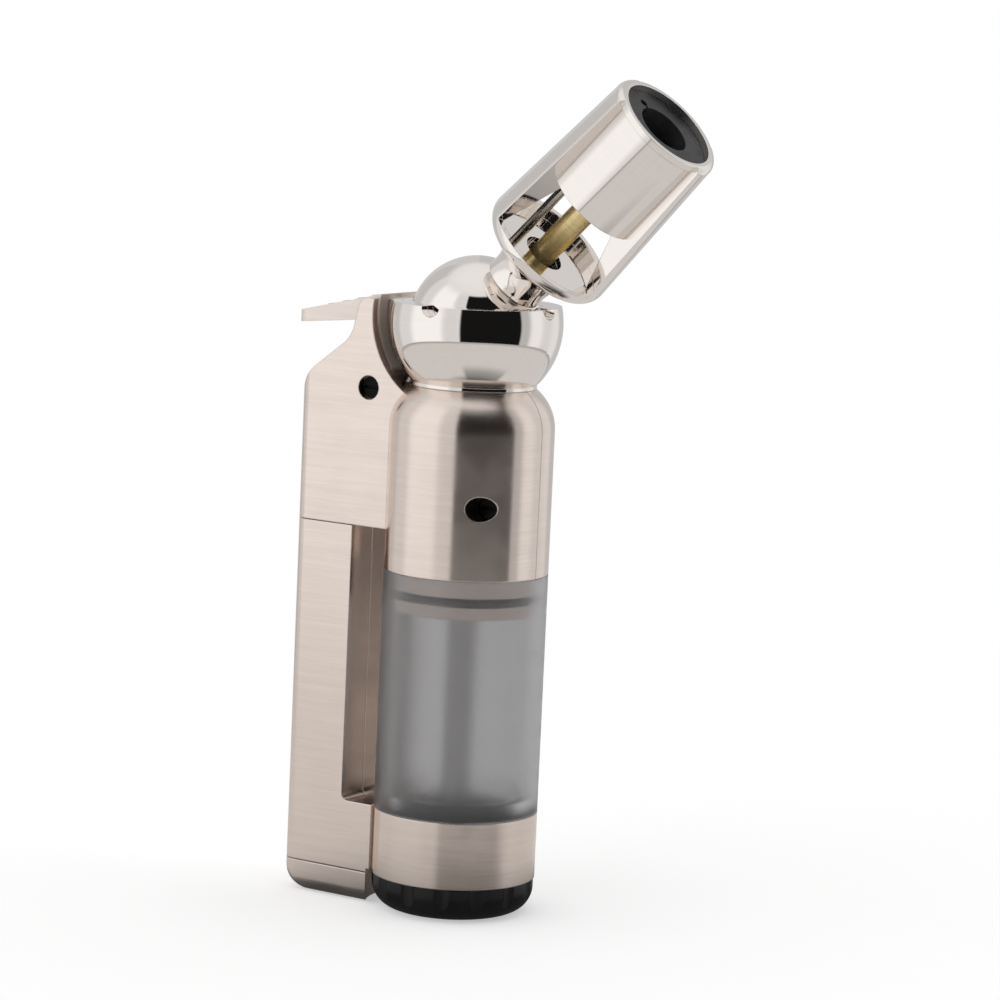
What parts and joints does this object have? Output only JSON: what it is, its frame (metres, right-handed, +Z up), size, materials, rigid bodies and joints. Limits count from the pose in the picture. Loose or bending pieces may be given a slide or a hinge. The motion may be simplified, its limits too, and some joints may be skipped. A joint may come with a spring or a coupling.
{
  "type": "pocket butane torch",
  "caption": "Pocket butane torch with an upright gas tank, side thumb lever, base flame knob and a windowed burner head on a ball swivel.",
  "frame": {"origin": "on the tank axis, in the plane that the knob and the rear foot stand on, which is the mouth of the fill port", "axes": "+Z up along the tank, +X forward away from the thumb lever, +Y to the left side"},
  "size_m": [0.06, 0.0234, 0.1141],
  "materials": {
    "brushed_nickel": "satin nickel plate, fine level brush lines",
    "polished_nickel": "mirror-polished nickel plate",
    "black_plastic": "satin moulded black",
    "smoked_plastic": "frosted smoke-grey clear plastic",
    "brass": "turned brass",
    "steel": "plain steel",
    "black_screw": "black oxide",
    "rubber": "matte black rubber",
    "nylon": "natural nylon",
    "ceramic": "black glazed ceramic",
    "wire_cover": "red silicone wire cover"
  },
  "bodies": {
    "body": {"housing_right": "brushed_nickel", "housing_left": "brushed_nickel", "rear_case_screw": "black_screw", "front_case_screw": "black_screw", "lower_frame": "brushed_nickel", "foot_cap": "brushed_nickel", "foot_screw": "steel", "gland_ring": "rubber", "tank": "smoked_plastic", "tank_cap": "steel", "tank_seal": "rubber", "outlet_valve_body": "brass", "valve_seat": "rubber", "valve_bracket": "steel", "rocker_pin": "steel", "gas_hose": "nylon", "pivot_sleeve": "steel", "piezo_body": "black_plastic", "ignition_wire": "wire_cover", "socket_cup": "polished_nickel", "retaining_ring": "polished_nickel", "valve_spring": "steel"},
    "flame_adjuster": {"adjuster_knob": "black_plastic", "adjuster_tube": "steel", "fill_valve_body": "brass", "fill_seal": "rubber", "fill_spring": "steel"},
    "fill_nozzle": {"fill_valve_stem": "brass"},
    "trigger": {"thumb_lever": "polished_nickel"},
    "igniter_plunger": {"piezo_plunger": "nylon"},
    "rocker": {"valve_lever": "steel"},
    "gas_valve": {"valve_stem": "brass"},
    "swivel": {"ball_liner": "nylon"},
    "tilt": {"swivel_ball": "polished_nickel"},
    "burner_head": {"neck": "polished_nickel", "neck_clip": "steel", "shroud": "polished_nickel", "burner_tube": "polished_nickel", "gas_jet": "brass", "head_hose": "nylon", "electrode_insulator": "steel", "electrode_wire": "steel", "flame_holder": "ceramic"}
  },
  "joints": [
    {"name": "trigger_press", "type": "hinge", "parent": "body", "child": "trigger", "pos_m": [-0.0124, 0, 0.07085], "axis": [0, -1, 0], "range_deg": [0, 22]},
    {"name": "igniter_plunger_travel", "type": "slide", "parent": "body", "child": "igniter_plunger", "axis": [0, 0, -1], "range_m": [0, 0.00236]},
    {"name": "valve_rocker_tilt", "type": "hinge", "parent": "body", "child": "rocker", "pos_m": [-0.0036, 0, 0.05735], "axis": [0, -1, 0], "range_deg": [0, 14.5]},
    {"name": "gas_valve_lift", "type": "slide", "parent": "body", "child": "gas_valve", "axis": [0, 0, 1], "range_m": [0, 0.00091], "deforming": ["valve_spring"]},
    {"name": "flame_adjust", "type": "hinge", "parent": "body", "child": "flame_adjuster", "pos_m": [0, 0, 0.002], "axis": [0, 0, 1], "range_deg": [-135, 135]},
    {"name": "fill_nozzle_press", "type": "slide", "parent": "flame_adjuster", "child": "fill_nozzle", "axis": [0, 0, 1], "range_m": [0, 0.0012], "deforming": ["fill_spring"]},
    {"name": "head_swivel", "type": "hinge", "parent": "body", "child": "swivel", "pos_m": [0, 0, 0.08035], "axis": [0, 0, 1], "continuous": true},
    {"name": "head_tilt", "type": "hinge", "parent": "swivel", "child": "tilt", "pos_m": [0, 0, 0.08035], "axis": [0, 1, 0], "range_deg": [-90, 0]},
    {"name": "head_spin", "type": "hinge", "parent": "tilt", "child": "burner_head", "pos_m": [0, 0, 0.08035], "axis": [0.7071, 0, 0.7071], "continuous": true}
  ],
  "couplings": [
    {"joint": "igniter_plunger_travel", "follows": "trigger_press", "m_per_rad": 0.0061},
    {"joint": "valve_rocker_tilt", "follows": "trigger_press", "ratio": 0.64894},
    {"joint": "gas_valve_lift", "follows": "trigger_press", "m_per_rad": 0.0023362}
  ]
}
